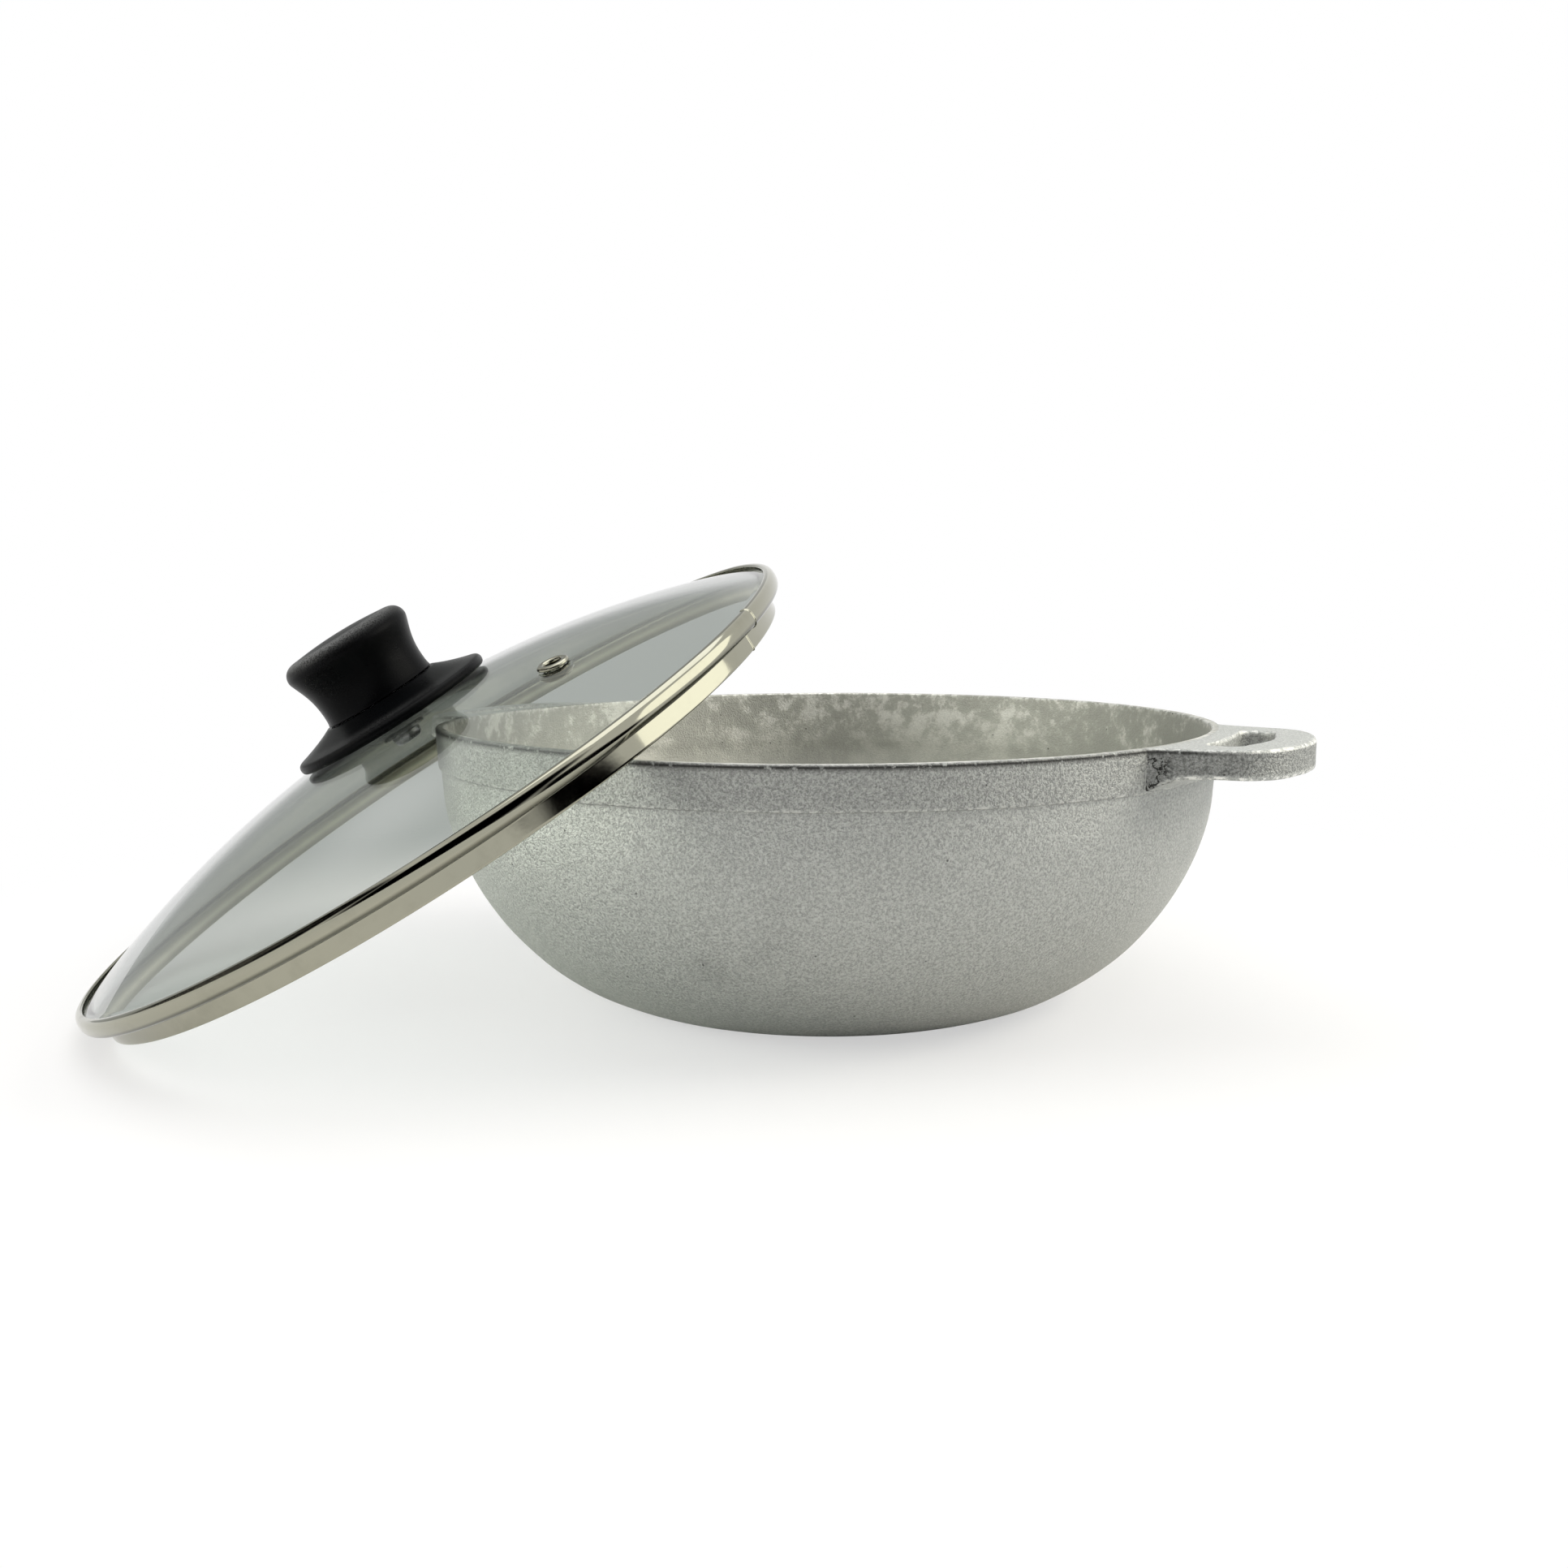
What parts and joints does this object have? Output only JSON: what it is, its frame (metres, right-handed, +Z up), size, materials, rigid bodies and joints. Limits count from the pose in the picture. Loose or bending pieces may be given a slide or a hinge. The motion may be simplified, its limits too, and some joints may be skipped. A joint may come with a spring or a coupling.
{
  "type": "caldero",
  "caption": "Cast aluminium cooking pot with a round bowl and lug handles, and a domed glass lid with steel band, steam vent and black knob that leans on its rim.",
  "frame": {"origin": "middle of the pot's flat foot, on the surface that it stands on", "axes": "+Z up out of the pot's mouth, X through the middles of the two handles, with the lid leaning over the quarter between -X and -Y"},
  "size_m": [0.3931, 0.3401, 0.1465],
  "materials": {
    "cast_aluminium": "matt sand-cast skin with fine pits and a worn bright rim",
    "lid_glass": "clear tempered glass with a grey-green tint",
    "band_steel": "mirror-polished stainless steel",
    "vent_steel": "bright rolled stainless steel",
    "knob_black": "satin black moulded phenolic",
    "insert_brass": "machined",
    "silicone": "translucent white silicone",
    "screw_steel": "zinc-plated steel"
  },
  "bodies": {
    "pot": {"pot_body": "cast_aluminium"},
    "lid": {"lid_glass": "lid_glass", "lid_band": "band_steel", "vent_barrel": "vent_steel", "vent_washer": "vent_steel", "knob_grip": "knob_black", "knob_flange": "knob_black", "knob_insert": "insert_brass", "flange_gasket": "silicone", "glass_seal": "silicone", "screw_washer": "screw_steel", "knob_screw": "screw_steel"}
  },
  "joints": [
    {"name": "lid_lift", "type": "slide", "parent": "pot", "child": "lid", "axis": [0, 0, 1], "range_m": [0, 0.18]}
  ]
}
